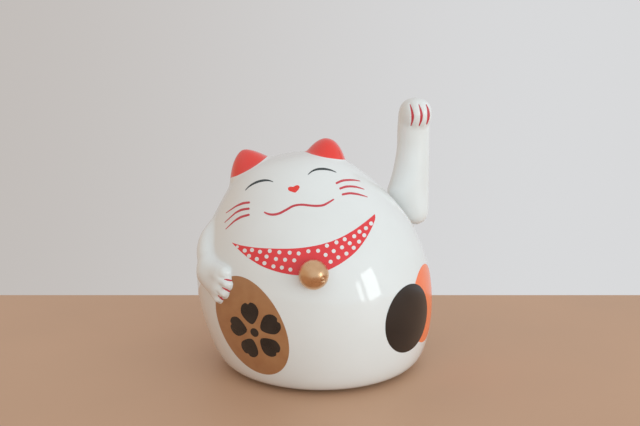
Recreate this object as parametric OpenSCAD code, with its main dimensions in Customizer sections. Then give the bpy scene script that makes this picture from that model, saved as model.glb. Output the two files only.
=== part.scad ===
// Waving cat figurine: an egg-shaped glazed ceramic body that leans to one side,
// with a battery-driven pendulum inside that swings the raised arm.
// Millimetres, +Z up, the face looks along -Y, origin at the centre of the foot ring's underside.

/* [Body] */
// Control radius at the widest part of the egg
body_r = 61.5; // [52:0.5:70]
// Control height of the crown above the underside of the shell
body_h = 107; // [90:0.5:120]
// Sideways lean of the body's centre line, linear term
lean_a = -4; // [-10:0.5:10]
// Sideways lean of the body's centre line, square term
lean_b = -14; // [-24:0.5:24]
// Tilt of the head around the front-to-back axis, degrees
head_tilt = 9.7; // [0:0.1:15]
// Wall thickness of the ceramic shell
wall = 4; // [2.5:0.1:6]
// Radius of the glazed rim that the shell stands on
rim_r = 43.5; // [41:0.5:48]
// Radius of the opening in the underside
opening_r = 39; // [34:0.5:42]
// Radius of the hole that the axle leaves by
exit_r = 4; // [2:0.25:6]

/* [Foot ring] */
// Thickness of the foam ring under the rim
foot_t = 0.8; // [0.5:0.1:3]
// Inner radius of the foam ring
foot_in = 37.2; // [30:0.1:40]

/* [Base] */
// Radius of the round base plate
plate_r = 36.5; // [30:0.1:38]
// Height of the plate's underside above the table
plate_z = 2; // [1:0.1:4]
// Plate thickness
plate_t = 2.8; // [2:0.1:4]
// Radius of the circle that the three base screws stand on
screw_circle = 32; // [28:0.5:34]
// Radius of the thread core of a base screw
screw_r = 1.15; // [0.8:0.05:2]
// Length of the battery door
door_l = 56.6; // [50:0.1:60]
// Width of the battery door
door_w = 16; // [14:0.1:18]
// Thickness of the battery door
door_t = 1.6; // [1:0.1:2.4]

/* [Battery] */
// Radius of the AA cell
cell_r = 7.1; // [5:0.05:8]
// Length of the AA cell without its nub
cell_l = 49.2; // [40:0.1:50]

/* [Swing mechanism] */
// Turn of the axle away from the side-to-side axis, degrees
axle_yaw = 12; // [0:1:30]
// Height of the axle above the table
axle_z = 72.8; // [65:0.1:80]
// Distance of the axle behind the middle
axle_y = 19; // [15:0.5:22]
// Radius of the axle
axle_r = 1; // [0.8:0.05:2]
// Running clearance of the axle in its bushes
run_gap = 0.04; // [0.02:0.01:0.1]
// Outer radius of a bush
bush_r = 2.6; // [2:0.1:4]
// Middle of the pendulum between the two uprights
swing_x = 12; // [10:0.5:14]
// Radius of the round magnet
magnet_r = 5; // [3:0.1:6]
// Height of the magnet's underside
magnet_z = 18.6; // [18:0.1:24]
// Height of the balance weight's middle
weight_z = 34; // [30:0.5:60]
// Distance of the balance weight behind the axle
weight_y = 1; // [-3:0.1:3]

/* [Bell] */
// Radius of the gold bell
bell_r = 6.7; // [5:0.1:9]

/* [Hidden] */

white = [0.95, 0.94, 0.91];
gold = [0.80, 0.60, 0.22];
steel = [0.72, 0.73, 0.75];
grey = [0.80, 0.80, 0.78];

// side curve of the egg: control points (radius, height) of a uniform cubic B-spline
CP = [[-21, 0], [0, 0], [21, 0], [42, 0], [52, 1], [57.5, 15], [body_r, 39.5], [56.5, 66.5],
    [39.5, 88.5], [23, body_h - 0.5], [0, body_h], [-23, body_h - 0.5]];
top_z = body_h - 0.5/3;
function mix4(b, P, i) = b[0]*P[i] + b[1]*P[i + 1] + b[2]*P[i + 2] + b[3]*P[i + 3];
function bs(t) = [pow(1 - t, 3), 3*pow(t, 3) - 6*t*t + 4, -3*pow(t, 3) + 3*t*t + 3*t + 1, pow(t, 3)]/6;
function db(t) = [-3*pow(1 - t, 2), 9*t*t - 12*t, -9*t*t + 6*t + 3, 3*t*t]/6;
function seg(v) = min(floor(v), len(CP) - 4);
function side(v) = mix4(bs(v - seg(v)), CP, seg(v));
function slope(v) = mix4(db(v - seg(v)), CP, seg(v));
// a point of the side curve moved off along its normal
function off_side(v, d) = let (p = side(v), s = slope(v), l = norm(s)) [p[0] + d*s[1]/l, p[1] - d*s[0]/l];
// each ring is shifted along the leaning centre line and tilted with the head
function place(r, z, a) = let (t = z/top_z, c = lean_a*t + lean_b*t*t, s = head_tilt*t*t*(3 - 2*t))
    [c + r*cos(a)*cos(s), r*sin(a), z + r*cos(a)*sin(s) + foot_t];
function ring(v, d, n) = let (p = off_side(v, d)) [for (j = [0:n - 1]) place(p[0], p[1], 360*j/n)];

// closed solid through a stack of rings with a point at each end
module stack(low, rings, high) {
    n = len(rings[0]);
    m = len(rings);
    polyhedron(points = concat([low], [for (r = rings) for (p = r) p], [high]),
        faces = concat(
            [for (j = [0:n - 1]) [0, 1 + j, 1 + (j + 1)%n]],
            [for (i = [0:m - 2]) for (j = [0:n - 1]) [1 + i*n + j, 1 + (i + 1)*n + j, 1 + i*n + (j + 1)%n]],
            [for (i = [0:m - 2]) for (j = [0:n - 1]) [1 + i*n + (j + 1)%n, 1 + (i + 1)*n + j, 1 + (i + 1)*n + (j + 1)%n]],
            [for (j = [0:n - 1]) [1 + m*n, 1 + (m - 1)*n + (j + 1)%n, 1 + (m - 1)*n + j]]),
        convexity = 6);
}
module egg(d, m, n) {
    stack(place(0, off_side(0, d)[1], 0), [for (i = [0:m]) ring(1 + 7.8*i/m, d, n)],
        place(0, off_side(9, d)[1], 0));
}

// tube of round section swept along hand-chosen route points, smoothed
function cr(a, b, c, d, t) = 0.5*(2*b + (c - a)*t + (2*a - 5*b + 4*c - d)*t*t + (3*b - a - 3*c + d)*t*t*t);
function unit(v) = v/norm(v);
function smooth(P, k) = concat([for (i = [0:len(P) - 2]) for (j = [0:k - 1])
    cr(P[max(i - 1, 0)], P[i], P[i + 1], P[min(i + 2, len(P) - 1)], j/k)], [P[len(P) - 1]]);
// ref is a direction that the route never runs along
module tube(P, r, n, ref) {
    m = len(P);
    T = [for (i = [0:m - 1]) unit(P[min(i + 1, m - 1)] - P[max(i - 1, 0)])];
    A = [for (i = [0:m - 1]) unit(cross(T[i], ref))];
    stack(P[0], [for (i = [0:m - 1]) let (B = cross(T[i], A[i]))
        [for (j = [0:n - 1]) P[i] + r*cos(360*j/n)*A[i] + r*sin(360*j/n)*B]], P[m - 1]);
}

// the mechanism's own frame, turned with the axle
module mech() { rotate([0, 0, axle_yaw]) children(); }
module along_x(x, y, z, r, l) { translate([x, y, z]) rotate([0, 90, 0]) cylinder(r = r, h = l, $fn = 64); }
module on_axle(x, r, l) { along_x(x, axle_y, axle_z, r, l); }
module ball(p, r) { translate(p) sphere(r = r, $fn = 24); }
module link(a, ra, b, rb) { hull() { ball(a, ra); ball(b, rb); } }

// ---- ceramic body ----
bell_c = [-3.4, -60.2, 61.9];
// the bell is flat at the back where it sits in a shallow seat in the chest
module bell_form(r) {
    translate(bell_c) rotate([90, 0, 0]) rotate_extrude($fn = 96) intersection() {
        circle(r = r, $fn = 96);
        translate([0, -5]) square([20, 20]);
    }
}
// an ear is a low rounded cone on the head. c is its middle on the egg, u runs along its crease, f to the front
// and n outwards; h is its height, p how hollow its flanks are, and s its reach: left, right, front and back
function flank(r) = (sqrt(r*r + 0.0484) - 0.22)/(sqrt(1.0484) - 0.22);
function ear_ring(c, u, f, n, h, p, s, r, sink) = [for (j = [0:31]) let (a = -360*j/32,
    x = r*cos(a)*(cos(a) < 0 ? s[0] : s[1]), y = 1.07 + r*sin(a)*(sin(a) > 0 ? s[2] : s[3]))
    c + x*u + y*f + (h*(1 - pow(flank(r), p)) - (x*x + y*y)/100 - sink)*n];
module ear(c, u, f, n, h, p, s) {
    stack(c - 5*n, concat([ear_ring(c, u, f, n, h, p, s, 1.02, 2.5)], [for (r = [0.98, 0.84, 0.7, 0.55, 0.4, 0.27, 0.15, 0.06])
        ear_ring(c, u, f, n, h, p, s, r, 0)]), c + 1.07*f + h*n);
}
module ears() {
    ear([-36.5, 4.7, 101.9], [0.773, 0.383, 0.506], [0.274, -0.92, 0.279], [-0.572, 0.077, 0.816], 8.38, 0.947, [14.84, 10.02, 13.4, 10.8]);
    ear([2.2, 3.1, 108.5], [0.984, 0.162, -0.075], [0.165, -0.985, 0.043], [0.067, 0.055, 0.996], 7.27, 1.311, [9.84, 10, 12.94, 10.3]);
}
// the resting arm is cast on the body: forearm from the shoulder down to the wrist, then four toes side by side
arm_path = [[-53.5, -11.3, 74.6], [-54.1, -14.8, 71.7], [-54.7, -19, 67.6], [-54.6, -23.8, 62.8], [-53.4, -29, 58.3], [-51.8, -32.6, 55.4]];
arm_r = [1.9, 3.5, 5.15, 5.75, 5.9, 6.4];
wrist = [[-53.7, -31.4, 58.1], [-53.7, -32.2, 56.3], [-53.6, -32.8, 54.5], [-53.9, -32.7, 53.5]];
toes = [[-44.9, -42.7, 58], [-43.9, -44.8, 53.1], [-45.6, -43.8, 48.8], [-48.4, -40.9, 45.4]];
toe_r = [3.1, 2.65, 2.55, 2.4];
module resting_arm() {
    for (i = [0:4]) link(arm_path[i], arm_r[i], arm_path[i + 1], arm_r[i + 1]);
    for (i = [0:3]) link(wrist[i], 4.9, toes[i], toe_r[i]);
}
module body_shell() {
    color(white) difference() {
        union() {
            egg(0, 34, 60);
            translate([0, 0, foot_t]) cylinder(r = rim_r, h = 2.2, $fn = 96);
            ears();
            resting_arm();
        }
        egg(-wall, 20, 40);
        translate([0, 0, -1]) cylinder(r = opening_r, h = 8, $fn = 96);
        mech() on_axle(26, exit_r, 34);
        bell_form(bell_r + 0.02);
    }
}
module bell() { color(gold) bell_form(bell_r); }

// ---- base ----
module foot_ring() {
    color([0.16, 0.16, 0.16]) difference() {
        cylinder(r = rim_r - 0.4, h = foot_t, $fn = 128);
        translate([0, 0, -1]) cylinder(r = foot_in, h = foot_t + 2, $fn = 128);
    }
}
ring_out = opening_r - 0.1;
plate_top = plate_z + plate_t;
tab_h = 4;
module at_screws() { for (a = [15, 135, 255]) rotate([0, 0, a]) translate([screw_circle, 0, 0]) children(); }
// glued into the opening; three tabs take the base screws
module mounting_ring() {
    color(grey) mech() difference() {
        union() {
            difference() {
                translate([0, 0, foot_t]) cylinder(r = ring_out, h = plate_top + tab_h - foot_t, $fn = 128);
                translate([0, 0, 0]) cylinder(r = plate_r + 0.2, h = 20, $fn = 128);
            }
            intersection() {
                at_screws() translate([-3.6, -4, plate_top]) cube([10, 8, tab_h]);
                translate([0, 0, plate_top - 1]) cylinder(r = ring_out - 1, h = 10, $fn = 128);
            }
        }
        at_screws() translate([0, 0, plate_top - 1]) cylinder(r = screw_r, h = 8, $fn = 48);
    }
}
bay_y = -9;
bay_w = 17;
bay_l = 58;
bay_top = 19.1;
lip = 1.2;
frame_holes = [[swing_x, 10.5], [swing_x, 26.5]];
// round plate with the battery bay standing on it
module base_plate() {
    color(grey) mech() difference() {
        union() {
            translate([0, 0, plate_z]) cylinder(r = plate_r, h = plate_t, $fn = 128);
            translate([-bay_l/2 - lip, bay_y - bay_w/2 - lip, plate_z + 1]) cube([bay_l + 2*lip, bay_w + 2*lip, bay_top + lip - plate_z - 1]);
        }
        translate([-bay_l/2, bay_y - bay_w/2, plate_top]) cube([bay_l, bay_w, bay_top - plate_top]);
        // slots in the roof of the bay for the contact tags
        for (x = [-bay_l/2, bay_l/2 - 1]) translate([x, bay_y - 2.5, bay_top - 1]) cube([1, 5, 4]);
        translate([-28, bay_y - 7.7, plate_z - 1]) cube([56, 15.4, 6]);
        translate([-door_l/2 - 0.4, bay_y - door_w/2 - 0.4, plate_z - 1]) cube([door_l + 0.8, door_w + 0.8, 1 + door_t]);
        at_screws() {
            translate([0, 0, plate_z - 1]) cylinder(r = screw_r + 0.2, h = 6, $fn = 48);
            translate([0, 0, plate_z - 1]) cylinder(r = 2.9, h = 2.3, $fn = 48);
        }
        for (p = frame_holes) translate([p[0], p[1], plate_z + 0.6]) cylinder(r = 0.85, h = 6, $fn = 48);
    }
}
module screw(z, head_r, head_h, r, l) {
    difference() {
        union() {
            translate([0, 0, z]) cylinder(r = head_r, h = head_h, $fn = 48);
            translate([0, 0, z + head_h]) cylinder(r = r, h = l, $fn = 48);
        }
        for (a = [0, 90]) rotate([0, 0, a]) translate([-1.5, -0.25, z - 1]) cube([3, 0.5, 1.6]);
    }
}
module base_screws() { color(steel) mech() at_screws() screw(plate_z + 0.1, 2.6, 1.2, screw_r, 6.9); }
module battery_door() {
    color(grey) mech() difference() {
        translate([-door_l/2, bay_y - door_w/2, plate_z]) cube([door_l, door_w, door_t]);
        for (i = [0:4]) translate([door_l/2 - 12 + 2*i, bay_y - 5, plate_z - 0.5]) cube([1, 10, 1]);
    }
}

// ---- battery and contacts ----
cell_z = plate_z + door_t + 0.4 + cell_r;
cell_x = -(cell_l + 1.3)/2;
module battery_cell() {
    color([0.15, 0.35, 0.25]) mech() {
        along_x(cell_x, bay_y, cell_z, cell_r, cell_l);
        along_x(cell_x + cell_l, bay_y, cell_z, 2.75, 1.3);
    }
}
function coil_pt(a) = let (q = a/1080) [cell_x - 0.35 - 2.75*q, bay_y + (3.2 + 1.4*q)*cos(a), cell_z + (3.2 + 1.4*q)*sin(a)];
module battery_spring() {
    color(steel) mech() {
        tube([for (a = [0:20:1080]) coil_pt(a)], 0.3, 8, [1, 0, 0]);
        translate([-bay_l/2, bay_y - 6, cell_z - 5.5]) cube([0.5, 12, 11]);
        translate([-bay_l/2, bay_y - 2, cell_z]) cube([0.5, 4, 23 - cell_z]);
    }
}
module battery_contact() {
    color(steel) mech() {
        translate([bay_l/2 - 0.5, bay_y - 6, cell_z - 5.5]) cube([0.5, 12, 11]);
        translate([bay_l/2 - 0.5, bay_y - 2, cell_z]) cube([0.5, 4, 23 - cell_z]);
        along_x(-cell_x, bay_y, cell_z, 3, bay_l/2 - 0.5 + cell_x);
    }
}

// ---- frame that carries the axle ----
up_t = 2.5;
left_x = swing_x - 11;
right_x = swing_x + 11 - up_t;
flange_top = plate_top + 2.2;
board_z = flange_top + 2;
posts = [[5.6, 10.2], [18.4, 10.2], [5.6, 26.4], [18.4, 26.4]];
module upright(x) {
    translate([x, axle_y - 6, plate_top + 1]) cube([up_t, 12, axle_z - plate_top - 1]);
    on_axle(x, 6, up_t);
}
module pivot_frame() {
    color([0.86, 0.86, 0.84]) mech() difference() {
        union() {
            intersection() {
                translate([left_x, 8, plate_top]) cube([22, 21, flange_top - plate_top]);
                translate([0, 0, plate_top]) cylinder(r = 35.6, h = 10, $fn = 128);
            }
            upright(left_x);
            upright(right_x);
            for (p = posts) translate([p[0], p[1], flange_top - 0.5]) cylinder(r = 1.4, h = board_z - flange_top + 0.5, $fn = 32);
        }
        on_axle(left_x - 1, bush_r, 30);
        for (p = frame_holes) translate([p[0], p[1], plate_top - 1]) cylinder(r = 1, h = 6, $fn = 48);
        // long openings lighten the uprights
        for (z = [30, 47]) translate([left_x - 1, axle_y - 3, z]) cube([30, 6, 12]);
    }
}
module frame_screws() {
    color(steel) mech() for (p = frame_holes) translate([p[0], p[1], 0]) difference() {
        union() {
            translate([0, 0, flange_top]) cylinder(r = 1.7, h = 1.1, $fn = 48);
            translate([0, 0, plate_z + 0.9]) cylinder(r = 0.85, h = flange_top - plate_z - 0.9, $fn = 48);
        }
        for (a = [0, 90]) rotate([0, 0, a]) translate([-1, -0.2, flange_top + 0.6]) cube([2, 0.4, 2]);
    }
}
module bearing_bushes() {
    color([0.75, 0.62, 0.35]) mech() difference() {
        union() {
            on_axle(left_x, bush_r, up_t);
            on_axle(left_x + up_t, 3.6, 0.6);
            on_axle(right_x, bush_r, up_t);
            on_axle(right_x - 0.6, 3.6, 0.6);
        }
        on_axle(left_x - 1, axle_r + run_gap, 30);
    }
}

// ---- drive ----
module circuit_board() {
    color([0.12, 0.38, 0.2]) mech() difference() {
        translate([4, 8.6, board_z]) cube([16, 19.4, 1.2]);
        translate([swing_x, axle_y, board_z - 1]) cylinder(r = 1, h = 4, $fn = 32);
    }
}
coil_z = board_z + 1.2;
module coil_bobbin() {
    color([0.9, 0.88, 0.8]) mech() translate([swing_x, axle_y, coil_z]) difference() {
        union() {
            cylinder(r = 8, h = 1, $fn = 96);
            cylinder(r = 3, h = 7, $fn = 64);
            translate([0, 0, 6]) cylinder(r = 8, h = 1, $fn = 96);
        }
        translate([0, 0, -1]) cylinder(r = 1.6, h = 10, $fn = 48);
    }
}
module drive_coil() {
    color([0.72, 0.38, 0.18]) mech() translate([swing_x, axle_y, coil_z + 1]) difference() {
        cylinder(r = 7.4, h = 5, $fn = 96);
        translate([0, 0, -1]) cylinder(r = 3, h = 7, $fn = 64);
    }
}
module board_parts() {
    color([0.1, 0.1, 0.12]) mech() {
        translate([6.1, 10.7, coil_z]) cylinder(r = 2, h = 5, $fn = 48);
        translate([16.6, 9, coil_z]) cube([3, 2.2, 4]);
        along_x(15.2, 27.2, coil_z + 0.7, 0.7, 4);
    }
}
wire_a = [[-27.9, bay_y, 22.2], [-27.9, -6, 22.6], [-27, 0.6, 21.4], [-23, 3.2, 13], [-14, 4.2, 8.5], [-4, 5, 9.5], [4, 6, 12.5], [8.4, 7, 13.2], [9.8, 9.6, 10.6]];
wire_b = [[27.9, bay_y, 22.2], [27.9, -6, 22.6], [27.6, 0.8, 21.2], [26.4, 3, 15], [24, 4.6, 11.4], [20, 6.2, 12], [16.6, 7, 13.2], [14.4, 9.6, 10.6]];
module lead_wires() {
    color([0.7, 0.12, 0.1]) mech() {
        tube(smooth(wire_a, 4), 0.55, 8, [0, 0, 1]);
        tube(smooth(wire_b, 4), 0.55, 8, [0, 0, 1]);
    }
}

// ---- swinging parts ----
module axle() { color(steel) mech() on_axle(-0.6, axle_r, 56.6); }
module retaining_clips() {
    color(steel) mech() difference() {
        union() {
            on_axle(left_x - 0.7, 2.4, 0.5);
            on_axle(right_x + up_t + 0.2, 2.4, 0.5);
        }
        on_axle(-4, axle_r, 40);
    }
}
module pendulum_lever() {
    color(grey) mech() difference() {
        union() {
            on_axle(swing_x - 2.5, 4, 5);
            translate([swing_x - 2.5, axle_y - 1.2, 24]) cube([5, 2.4, axle_z - 24]);
            translate([swing_x, axle_y, magnet_z - 0.1]) cylinder(r = magnet_r + 1.2, h = 6.5, $fn = 96);
        }
        on_axle(0, axle_r, 24);
        translate([swing_x, axle_y, magnet_z - 1]) cylinder(r = magnet_r, h = 5, $fn = 96);
    }
}
module pendulum_magnet() {
    color(steel) mech() translate([swing_x, axle_y, magnet_z]) cylinder(r = magnet_r, h = 4, $fn = 96);
}
module balance_weight() {
    color([0.45, 0.46, 0.48]) mech() difference() {
        along_x(swing_x - 4.5, axle_y + weight_y, weight_z, 4, 9);
        translate([swing_x - 2.5, axle_y - 1.2, weight_z - 10]) cube([5, 2.4, 20]);
    }
}
hub_r = 4.5;
hub_x = 46.4;
module arm_hub() {
    color(grey) mech() difference() {
        union() {
            on_axle(hub_x, hub_r, 10);
            on_axle(43.2, 2.6, 4);
        }
        on_axle(40, axle_r, 30);
    }
}
// sections of the raised arm: height, inner edge, outer edge, middle (front to back), half depth
arm_rows = [[65.8, 56.2, 57.6, 19, 0.6], [66.3, 54, 60.4, 19, 3.4], [67.6, 51.6, 62.4, 19, 5.6], [70, 49, 63.7, 19, 7.2],
    [73.5, 46.6, 64.2, 19, 8], [78, 43.7, 64.3, 19, 8.2], [84, 41, 64.3, 19, 8.2], [89, 42.3, 64.2, 19, 8.2], [97, 44.4, 64.1, 19, 7.9],
    [107, 46, 63.9, 19, 7.6], [114, 46.1, 63.7, 18.9, 7.6], [118, 46.1, 63.5, 18.7, 7.7], [120, 46.1, 63.4, 18.1, 8.2],
    [123, 46.3, 63.3, 16.9, 8.9], [126.2, 46.4, 63.6, 16.7, 9.2], [129.4, 46.9, 63.1, 16.7, 8.7], [132, 48.3, 61.7, 16.8, 7.1], [133.9, 50.8, 59.2, 16.8, 4.6], [134.7, 54, 56, 16.8, 1]];
function arm_ring(q, d, n) = [for (j = [0:n - 1]) [(q[1] + q[2])/2 + max((q[2] - q[1])/2 - d, 0.3)*cos(360*j/n),
    q[3] + max(q[4] - d, 0.3)*sin(360*j/n), q[0]]];
module arm_solid(rows, d, k, n) {
    R = smooth(rows, k);
    stack([(R[0][1] + R[0][2])/2, R[0][3], R[0][0] - 0.05], [for (q = R) arm_ring(q, d, n)],
        [(R[len(R) - 1][1] + R[len(R) - 1][2])/2, R[len(R) - 1][3], R[len(R) - 1][0] + 0.05]);
}
// hollow moulding; the hub plugs into it from the body side
module waving_arm() {
    color(white) mech() difference() {
        arm_solid(arm_rows, 0, 2, 32);
        arm_solid([for (i = [6:15]) arm_rows[i]], 1.8, 1, 24);
        on_axle(30, hub_r, hub_x + 10 - 30);
    }
}

body_shell();
bell();
foot_ring();
mounting_ring();
base_plate();
base_screws();
battery_door();
battery_cell();
battery_spring();
battery_contact();
pivot_frame();
frame_screws();
circuit_board();
coil_bobbin();
drive_coil();
board_parts();
lead_wires();
bearing_bushes();
axle();
arm_hub();
waving_arm();
pendulum_lever();
pendulum_magnet();
balance_weight();
retaining_clips();
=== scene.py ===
import bpy, math
import numpy as np
from mathutils import Vector, Matrix
from mathutils.bvhtree import BVHTree
from mathutils.geometry import delaunay_2d_cdt
from mathutils.kdtree import KDTree

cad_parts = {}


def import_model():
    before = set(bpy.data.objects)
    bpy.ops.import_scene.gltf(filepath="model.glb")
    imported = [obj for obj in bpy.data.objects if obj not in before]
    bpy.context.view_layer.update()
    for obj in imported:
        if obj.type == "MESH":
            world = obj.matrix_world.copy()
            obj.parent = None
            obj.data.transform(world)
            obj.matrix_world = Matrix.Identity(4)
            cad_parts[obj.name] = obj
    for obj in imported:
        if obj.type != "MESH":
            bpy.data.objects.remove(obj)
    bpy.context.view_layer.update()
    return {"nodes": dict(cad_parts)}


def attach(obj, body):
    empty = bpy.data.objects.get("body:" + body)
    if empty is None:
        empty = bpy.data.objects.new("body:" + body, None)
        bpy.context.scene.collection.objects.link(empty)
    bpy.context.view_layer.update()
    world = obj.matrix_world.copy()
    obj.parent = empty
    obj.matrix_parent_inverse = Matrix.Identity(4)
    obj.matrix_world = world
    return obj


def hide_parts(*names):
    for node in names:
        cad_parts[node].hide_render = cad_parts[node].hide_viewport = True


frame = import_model()
MM = 0.001
FIG, PEN, DOOR = "figure", "pendulum", "door"

# ------------------------------------------------------------------ camera
CAM = np.array([-0.6, -401.5, 158.4])          # mm
PITCH = math.atan(161 / 800)
cam_data = bpy.data.cameras.new("view_camera")
cam_data.lens, cam_data.sensor_width, cam_data.sensor_fit = 45.0, 36.0, "HORIZONTAL"
cam_data.clip_start, cam_data.clip_end = 0.02, 20.0
cam = bpy.data.objects.new("view_camera", cam_data)
bpy.context.scene.collection.objects.link(cam)
cam.location = Vector(CAM * MM)
cam.rotation_euler = (math.pi / 2 - PITCH, 0, 0)
bpy.context.scene.camera = cam


def sight(px, py):
    """Direction of the sight line through a point of the 640 x 426 frame."""
    u, v = (px - 320) / 800, (213 - py) / 800
    d = np.array([u, math.cos(PITCH) + v * math.sin(PITCH), -math.sin(PITCH) + v * math.cos(PITCH)])
    return d / np.linalg.norm(d)


def project(P):
    """Where points in mm fall in the 640 x 426 frame."""
    d = P - CAM
    z = d @ np.array([0, math.cos(PITCH), -math.sin(PITCH)])
    return np.stack([320 + 800 * d[..., 0] / z, 213 - 800 * (d @ np.array([0, math.sin(PITCH), math.cos(PITCH)])) / z], -1)


# ------------------------------------------------------------------ the egg's surface (same rule as the CAD), mm
Z0 = 0.8
CP = np.array([(-21, 0), (0, 0), (21, 0), (42, 0), (52, 1), (57.5, 15), (61.5, 39.5), (56.5, 66.5),
               (39.5, 88.5), (23, 106.5), (0, 107), (-23, 106.5)], float)
LEAN_A, LEAN_B, TILT = -4.0, -14.0, 9.7
ZT = 107 - 0.5 / 3


def side(v):
    v = np.asarray(v, float)
    i = np.clip(np.floor(v).astype(int), 0, len(CP) - 4)
    t = v - i
    b = np.stack([(1 - t) ** 3, 3 * t**3 - 6 * t * t + 4, -3 * t**3 + 3 * t * t + 3 * t + 1, t**3], -1) / 6
    d = np.stack([-3 * (1 - t) ** 2, 9 * t * t - 12 * t, -9 * t * t + 6 * t + 3, 3 * t * t], -1) / 6
    P = sum(b[..., k, None] * CP[i + k] for k in range(4))
    D = sum(d[..., k, None] * CP[i + k] for k in range(4))
    return P, D


def place(r, z, th):
    t = z / ZT
    c = LEAN_A * t + LEAN_B * t * t
    s = np.radians(TILT) * t * t * (3 - 2 * t)
    return np.stack([c + r * np.cos(th) * np.cos(s), r * np.sin(th), z + r * np.cos(th) * np.sin(s) + Z0], -1)


def egg(v, th, off=0.0):
    P, D = side(v)
    n = np.stack([D[..., 1], -D[..., 0]], -1)
    n = n / np.linalg.norm(n, axis=-1, keepdims=True)
    return place(P[..., 0] + off * n[..., 0], P[..., 1] + off * n[..., 1], th)


def unit(a):
    a = np.asarray(a, float)
    return a / np.maximum(np.linalg.norm(a, axis=-1, keepdims=True), 1e-12)


# ------------------------------------------------------------------ small field tools
def f_cap(p, a, b, ra, rb):
    a, b = np.array(a, float), np.array(b, float)
    ab = b - a
    h = np.clip(((p - a) @ ab) / max(ab @ ab, 1e-9), 0, 1)
    return np.linalg.norm(p - a - h[..., None] * ab, axis=-1) - (ra + (rb - ra) * h)


def f_ell(p, c, r, axes=None):
    q = p - np.array(c, float)
    if axes is not None:
        q = q @ np.array(axes, float).T
    r = np.array(r, float)
    k0 = np.linalg.norm(q / r, axis=-1)
    k1 = np.linalg.norm(q / r**2, axis=-1)
    return k0 * (k0 - 1) / np.maximum(k1, 1e-9)


def smin(a, b, k):
    h = np.clip(0.5 + 0.5 * (b - a) / k, 0, 1)
    return b * (1 - h) + a * h - k * h * (1 - h)


def to_lines(p, lines):
    """Distance of each point to the nearest of some polylines."""
    best = np.full(p.shape[:-1], 1e9)
    for L in lines:
        for a, b in zip(L[:-1], L[1:]):
            best = np.minimum(best, f_cap(p, a, b, 0, 0))
    return best


def catmull(P, k, closed=False):
    P = [np.array(p, float) for p in P]
    n, out = len(P), []
    for i in range(n if closed else n - 1):
        if closed:
            a, b, c, d = P[(i - 1) % n], P[i], P[(i + 1) % n], P[(i + 2) % n]
        else:
            a, b, c, d = P[max(i - 1, 0)], P[i], P[i + 1], P[min(i + 2, n - 1)]
        for j in range(k):
            t = j / k
            out.append(0.5 * (2 * b + (c - a) * t + (2 * a - 5 * b + 4 * c - d) * t * t + (3 * b - a - 3 * c + d) * t**3))
    if not closed:
        out.append(P[-1])
    return np.array(out)


def new_mesh(name, verts, faces, body, mats, sharp=None, slots=None):
    me = bpy.data.meshes.new(name)
    me.from_pydata([tuple(v) for v in np.asarray(verts) * MM], [], [tuple(int(i) for i in f) for f in faces])
    me.update()
    ob = bpy.data.objects.new(name, me)
    bpy.context.scene.collection.objects.link(ob)
    for m in mats:
        me.materials.append(m)
    me.polygons.foreach_set("use_smooth", [True] * len(me.polygons))
    if slots is not None:
        me.polygons.foreach_set("material_index", slots)
    if sharp:
        me.set_sharp_from_angle(angle=math.radians(sharp))
    if body:
        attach(ob, body)
    return ob


def grid_faces(m, n, base=0, flip=False):
    i, j = np.meshgrid(np.arange(m - 1), np.arange(n), indexing="ij")
    a = base + i * n + j
    b = base + i * n + (j + 1) % n
    c, d = b + n, a + n
    f = np.stack([a, b, c, d] if not flip else [a, d, c, b], -1).reshape(-1, 4)
    return f


# ------------------------------------------------------------------ materials
def srgb(r, g, b):
    return tuple((c / 255 / 12.92) if c / 255 <= 0.04045 else ((c / 255 + 0.055) / 1.055) ** 2.4 for c in (r, g, b))


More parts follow.
